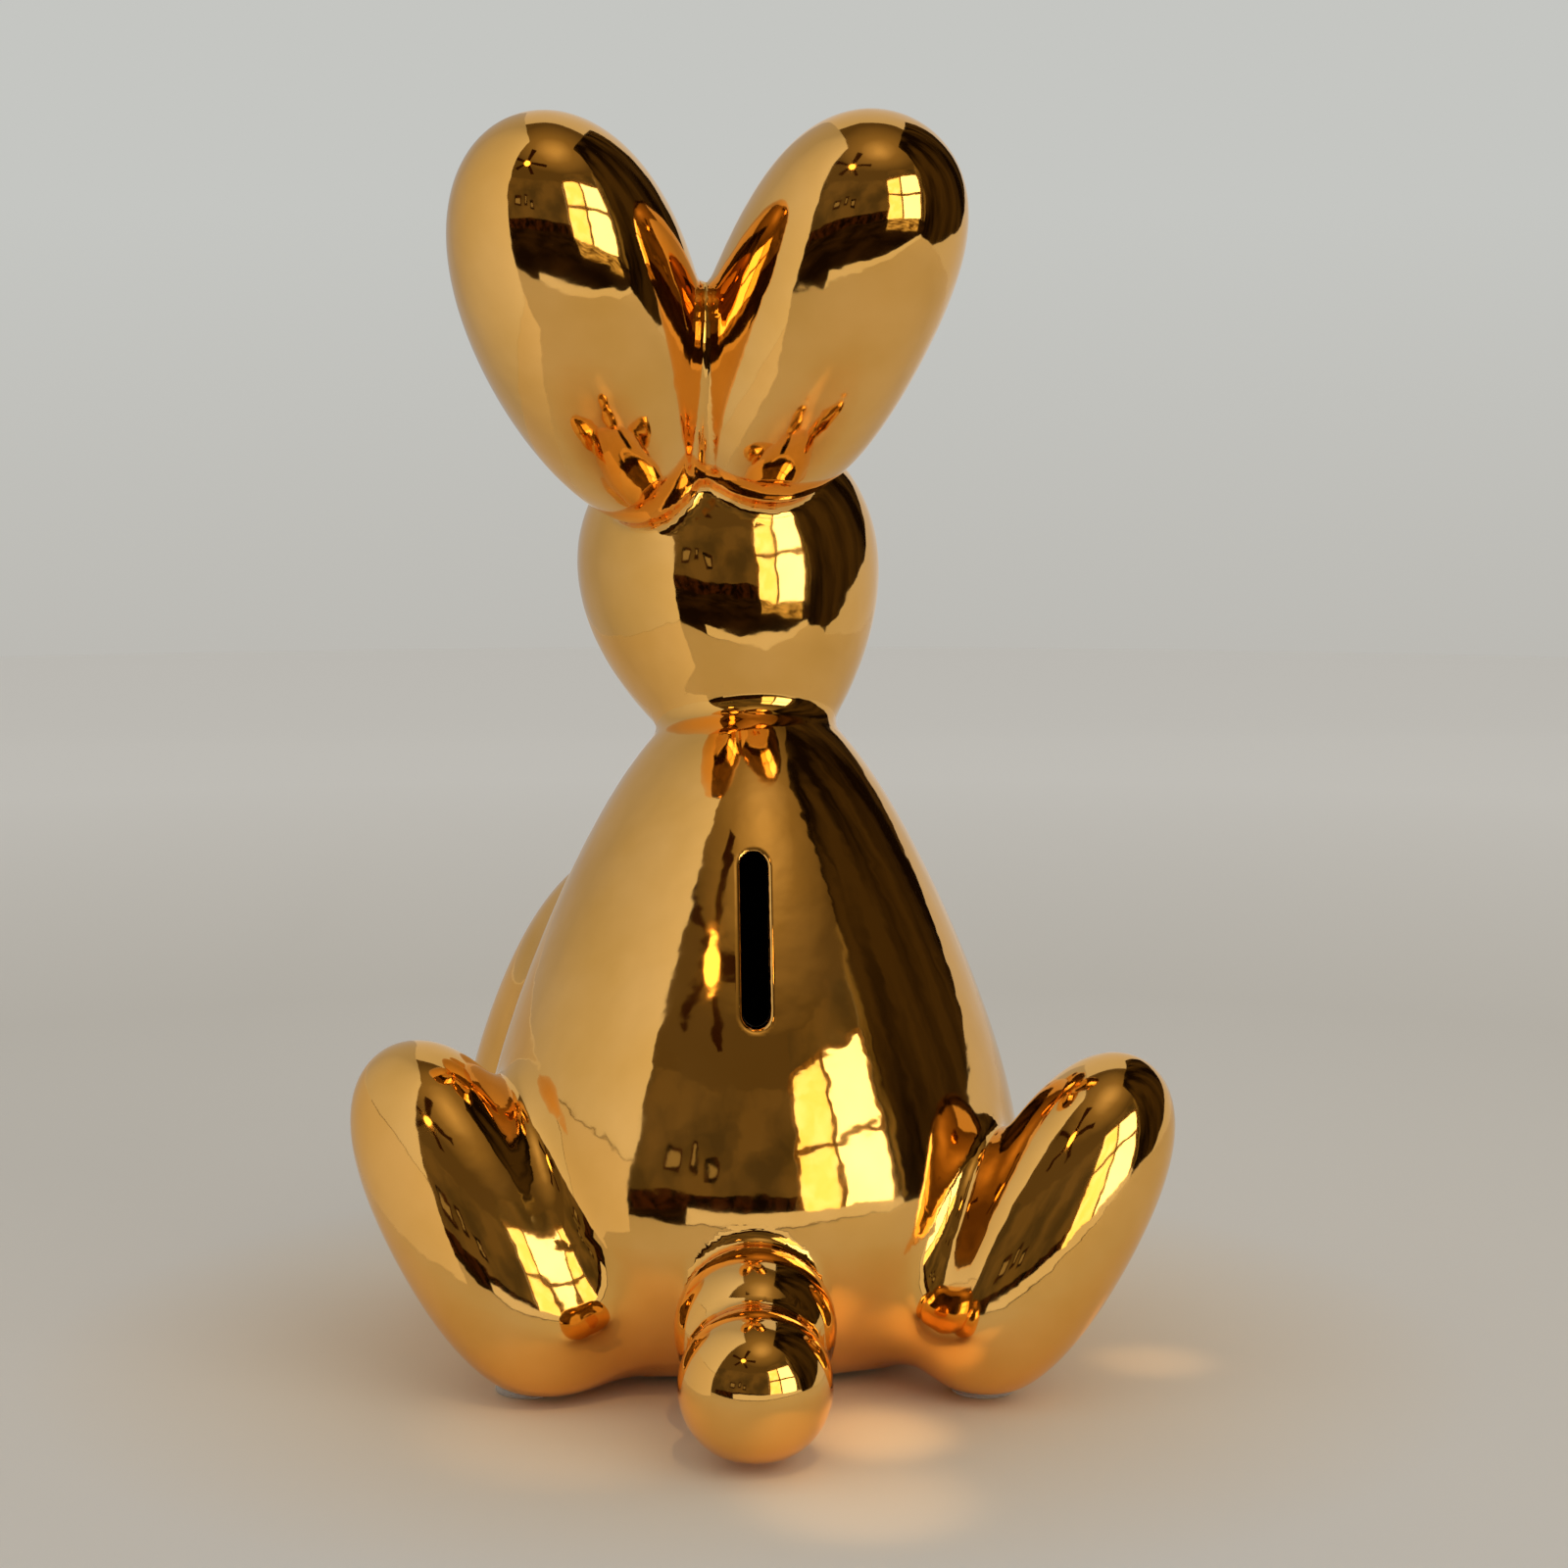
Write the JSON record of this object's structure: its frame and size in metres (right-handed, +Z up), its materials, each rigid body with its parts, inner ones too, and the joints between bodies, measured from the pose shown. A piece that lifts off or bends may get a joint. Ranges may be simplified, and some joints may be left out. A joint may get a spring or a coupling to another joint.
{
  "type": "coin bank",
  "caption": "Balloon-animal rabbit coin bank in gold-plated ceramic, sitting upright, with a coin slot in the back and a plugged hole in the base.",
  "frame": {"origin": "on the table, under the middle of the bank's outline seen from above; the body's own axis passes within 2 mm of it", "axes": "+Z up, -Y the way the rabbit faces, +X the rabbit's left"},
  "size_m": [0.1648, 0.1863, 0.2529],
  "materials": {
    "plated_ceramic": "polished",
    "stopper_rubber": "matte",
    "clear_pad": "satin"
  },
  "bodies": {
    "bank": {"body_shell": "plated_ceramic", "head_shell": "plated_ceramic", "muzzle": "plated_ceramic", "nose_knot": "plated_ceramic", "ear_left": "plated_ceramic", "ear_right": "plated_ceramic", "foreleg_left": "plated_ceramic", "foreleg_right": "plated_ceramic", "hind_leg_left": "plated_ceramic", "hind_leg_right": "plated_ceramic", "tail_root_lobe": "plated_ceramic", "tail_ball": "plated_ceramic", "pad_rear_left": "clear_pad", "pad_rear_right": "clear_pad", "pad_front_left": "clear_pad", "pad_front_right": "clear_pad"},
    "stopper": {"stopper": "stopper_rubber"}
  },
  "joints": [
    {"name": "stopper_pull", "type": "slide", "parent": "bank", "child": "stopper", "axis": [0, 0, -1], "range_m": [0, 0.03]}
  ]
}
